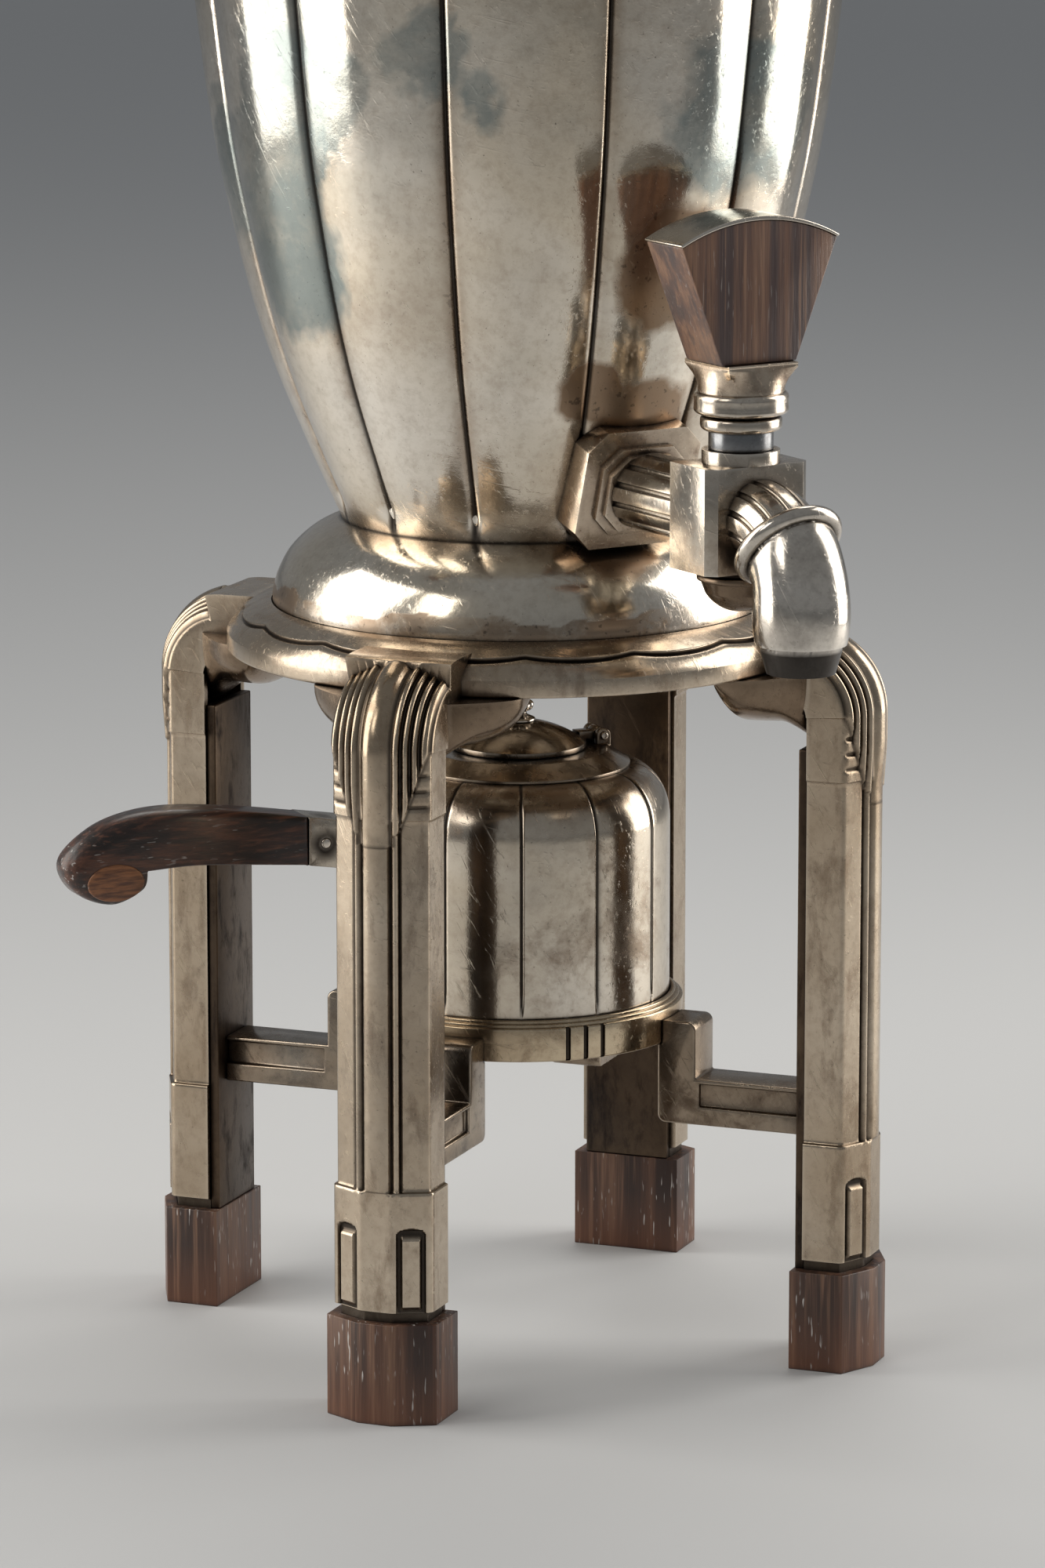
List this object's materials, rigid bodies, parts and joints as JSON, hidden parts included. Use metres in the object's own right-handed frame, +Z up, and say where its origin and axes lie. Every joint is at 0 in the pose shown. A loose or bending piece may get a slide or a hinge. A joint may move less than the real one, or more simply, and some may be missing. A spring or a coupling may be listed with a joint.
{
  "type": "samovar",
  "caption": "Table samovar: lobed urn with a tap and fan-shaped key, lid and side handles, on an open legged stand with a lift-out spirit burner.",
  "frame": {"origin": "on the table, under the middle of the whole object's bounding box", "axes": "+Z up; the tap points along -Y and the side handles along X"},
  "size_m": [0.24, 0.2086, 0.4519],
  "materials": {
    "silver": "aged satin silver",
    "tarnished_silver": "dark tarnish",
    "striped_wood": "striped, satin",
    "red_brown_wood": "polished",
    "wick_cotton": "matt",
    "screw_brass": "plain"
  },
  "bodies": {
    "stand": {"stand_ring": "silver", "leg_shell_front_left": "silver", "leg_shell_front_right": "silver", "leg_shell_back_right": "silver", "leg_shell_back_left": "silver", "leg_back_plate_front_left": "tarnished_silver", "leg_back_plate_front_right": "tarnished_silver", "leg_back_plate_back_right": "tarnished_silver", "leg_back_plate_back_left": "tarnished_silver", "foot_block_front_left": "striped_wood", "foot_block_front_right": "striped_wood", "foot_block_back_right": "striped_wood", "foot_block_back_left": "striped_wood", "foot_screws": "screw_brass", "ring_gusset_front_left": "silver", "ring_gusset_front_right": "silver", "ring_gusset_back_right": "silver", "ring_gusset_back_left": "silver", "tray_ring": "silver", "tray_arm_front_left": "silver", "tray_arm_front_right": "silver", "tray_arm_back_right": "silver", "tray_arm_back_left": "silver"},
    "burner": {"burner_body": "silver", "burner_collar": "silver", "wick_holder": "silver", "wick": "wick_cotton", "cap_hinge_pin": "silver", "handle_socket": "silver", "handle_grip": "red_brown_wood", "handle_pin": "silver"},
    "cap": {"burner_cap": "silver", "cap_finial": "silver"},
    "vessel": {"vessel_body": "silver", "vessel_foot": "silver", "vessel_neck_ring": "silver", "side_grip_left": "striped_wood", "side_grip_right": "striped_wood", "side_sockets_left": "silver", "side_sockets_right": "silver", "side_handle_pins": "silver", "tap_escutcheon": "silver", "tap_barrel": "silver", "tap_block": "silver", "tap_elbow": "silver", "spout_nozzle": "silver"},
    "plug": {"tap_plug": "silver", "plug_collars": "silver", "key_socket": "silver", "tap_key": "striped_wood", "tap_key_plate": "silver", "plug_washer": "tarnished_silver", "plug_nut": "silver"},
    "lid": {"lid": "silver", "lid_knob_base": "silver", "lid_knob": "striped_wood", "lid_knob_plate": "silver", "lid_knob_screw": "screw_brass"}
  },
  "joints": [
    {"name": "vessel_lift", "type": "slide", "parent": "stand", "child": "vessel", "axis": [0, 0, 1], "range_m": [0, 0.05]},
    {"name": "lid_lift", "type": "slide", "parent": "vessel", "child": "lid", "axis": [0, 0, 1], "range_m": [0, 0.03]},
    {"name": "tap_turn", "type": "hinge", "parent": "vessel", "child": "plug", "pos_m": [0, -0.06849, 0.2104], "axis": [0, 0, 1], "range_deg": [0, 90]},
    {"name": "burner_lift", "type": "slide", "parent": "stand", "child": "burner", "axis": [0, 0, 1], "range_m": [0, 0.012]},
    {"name": "cap_hinge", "type": "hinge", "parent": "burner", "child": "cap", "pos_m": [0.02001, 0.02366, 0.1432], "axis": [0.1357, 0.9907, 0], "range_deg": [0, 105]}
  ]
}
